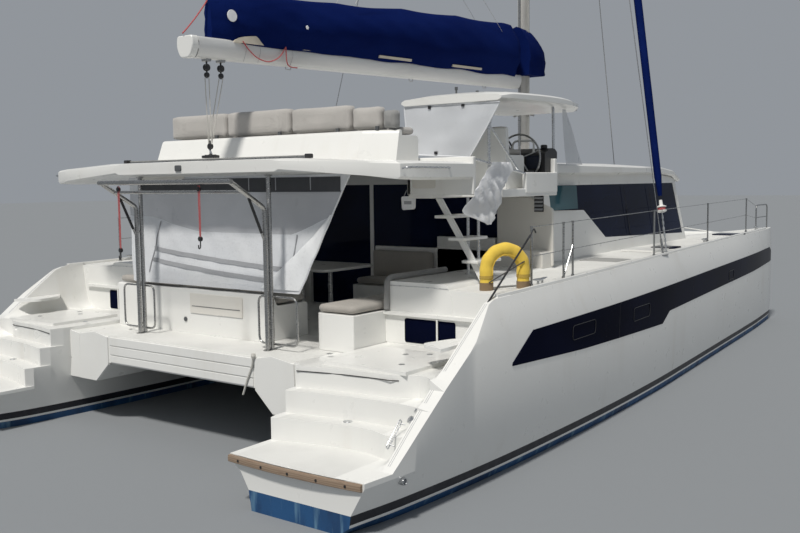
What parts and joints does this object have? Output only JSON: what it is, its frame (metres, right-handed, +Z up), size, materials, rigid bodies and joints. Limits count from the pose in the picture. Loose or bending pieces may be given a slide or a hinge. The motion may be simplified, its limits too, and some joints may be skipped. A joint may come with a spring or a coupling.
{
  "type": "cruising sailing catamaran",
  "caption": "Cruising sailing catamaran afloat, with a hardtop over the cockpit, a raised helm and lounge, stern steps on both hulls and the mainsail stowed on its boom.",
  "frame": {"origin": "on the waterline, on the centreline, halfway along the hulls", "axes": "+X towards the bows, +Y to port, +Z up"},
  "size_m": [15.4, 7.96, 24.12],
  "materials": {
    "gelcoat": "glossy white gelcoat",
    "tinted_glass": "dark tinted acrylic and glass",
    "stainless": "polished stainless steel",
    "anodised": "painted and anodised spars",
    "upholstery": "beige grey outdoor upholstery",
    "navy_canvas": "navy acrylic canvas",
    "clear_curtain": "hazy clear vinyl with white hem",
    "silver_cloth": "silver grey cover cloth",
    "black_fittings": "black moulded fittings and rope",
    "net": "woven trampoline net",
    "yellow_foam": "yellow foam in a sewn cover",
    "bronze": "bronze propellers",
    "antifouling": "matt blue antifouling"
  },
  "bodies": {
    "root": {"hull_starboard": "gelcoat", "hull_port": "gelcoat", "hull_window_starboard": "tinted_glass", "hull_window_port": "tinted_glass", "bridgedeck": "gelcoat", "cabin": "gelcoat", "cabin_glass_starboard": "tinted_glass", "cabin_glass_port": "tinted_glass", "windscreen": "tinted_glass", "aft_glass": "tinted_glass", "hardtop": "gelcoat", "helm_pod": "gelcoat", "helm_console": "black_fittings", "helm_seat": "gelcoat", "helm_cushion": "upholstery", "helm_steps": "gelcoat", "helm_bimini": "gelcoat", "helm_curtain": "clear_curtain", "helm_cover": "silver_cloth", "lounge_base": "gelcoat", "lounge_cushion": "upholstery", "aft_bench": "gelcoat", "aft_cushion": "upholstery", "fore_bench": "gelcoat", "fore_cushion": "upholstery", "cockpit_table": "gelcoat", "cockpit_curtain": "clear_curtain", "davit_frame": "stainless", "traveller_track": "black_fittings", "sail_bag_bib": "navy_canvas", "mast": "anodised", "shroud_starboard": "stainless", "shroud_port": "stainless", "forestay": "stainless", "furled_sail": "navy_canvas", "fore_beam": "anodised", "net_starboard": "net", "net_port": "net", "guard_rail_starboard": "stainless", "guard_rail_port": "stainless", "lifebuoy": "yellow_foam"},
    "boom": {"boom": "anodised", "sail_bag": "navy_canvas", "mainsheet": "black_fittings"},
    "traveller": {"traveller_car": "black_fittings"},
    "starboard_propeller": {"propeller_starboard": "bronze"},
    "port_propeller": {"propeller_port": "bronze"},
    "starboard_rudder": {"rudder_starboard": "antifouling"},
    "port_rudder": {"rudder_port": "antifouling"},
    "wheel": {"helm_wheel": "stainless"},
    "door": {"saloon_door": "tinted_glass"},
    "starboard_lid": {"engine_lid_starboard": "gelcoat"},
    "port_lid": {"engine_lid_port": "gelcoat"},
    "starboard_hatch": {"bow_hatch_starboard": "tinted_glass"},
    "port_hatch": {"bow_hatch_port": "tinted_glass"}
  },
  "joints": [
    {"name": "boom_swing", "type": "hinge", "parent": "root", "child": "boom", "pos_m": [1.7, 0, 4.9], "axis": [0, 0, 1], "range_deg": [-45, 45]},
    {"name": "traveller_slide", "type": "slide", "parent": "root", "child": "traveller", "axis": [0, 1, 0], "range_m": [-1.45, 1.45]},
    {"name": "starboard_propeller_spin", "type": "hinge", "parent": "root", "child": "starboard_propeller", "pos_m": [-4.53, -2.98, -1.15], "axis": [1, 0, 0], "continuous": true},
    {"name": "port_propeller_spin", "type": "hinge", "parent": "root", "child": "port_propeller", "pos_m": [-4.53, 2.98, -1.15], "axis": [1, 0, 0], "continuous": true},
    {"name": "wheel_turn", "type": "hinge", "parent": "root", "child": "wheel", "pos_m": [-2.85, -2.66, 3.39], "axis": [1, 0, 0], "range_deg": [-360, 360]},
    {"name": "starboard_rudder_turn", "type": "hinge", "parent": "root", "child": "starboard_rudder", "pos_m": [-6.5, -2.98, -0.9], "axis": [0, 0, 1], "range_deg": [-35, 35]},
    {"name": "port_rudder_turn", "type": "hinge", "parent": "root", "child": "port_rudder", "pos_m": [-6.5, 2.98, -0.9], "axis": [0, 0, 1], "range_deg": [-35, 35]},
    {"name": "door_slide", "type": "slide", "parent": "root", "child": "door", "axis": [0, -1, 0], "range_m": [0, 1.1]},
    {"name": "starboard_lid_hinge", "type": "hinge", "parent": "root", "child": "starboard_lid", "pos_m": [-5.5, -2.95, 1.2205], "axis": [0, 1, 0], "range_deg": [0, 75]},
    {"name": "port_lid_hinge", "type": "hinge", "parent": "root", "child": "port_lid", "pos_m": [-5.5, 2.95, 1.2205], "axis": [0, 1, 0], "range_deg": [0, 75]},
    {"name": "starboard_hatch_hinge", "type": "hinge", "parent": "root", "child": "starboard_hatch", "pos_m": [0.85, -3.025, 1.9572], "axis": [0, 1, 0], "range_deg": [0, 80]},
    {"name": "port_hatch_hinge", "type": "hinge", "parent": "root", "child": "port_hatch", "pos_m": [0.85, 3.025, 1.9572], "axis": [0, 1, 0], "range_deg": [0, 80]}
  ],
  "couplings": [
    {"joint": "starboard_rudder_turn", "follows": "wheel_turn", "ratio": 0.097222},
    {"joint": "port_rudder_turn", "follows": "wheel_turn", "ratio": 0.097222}
  ]
}
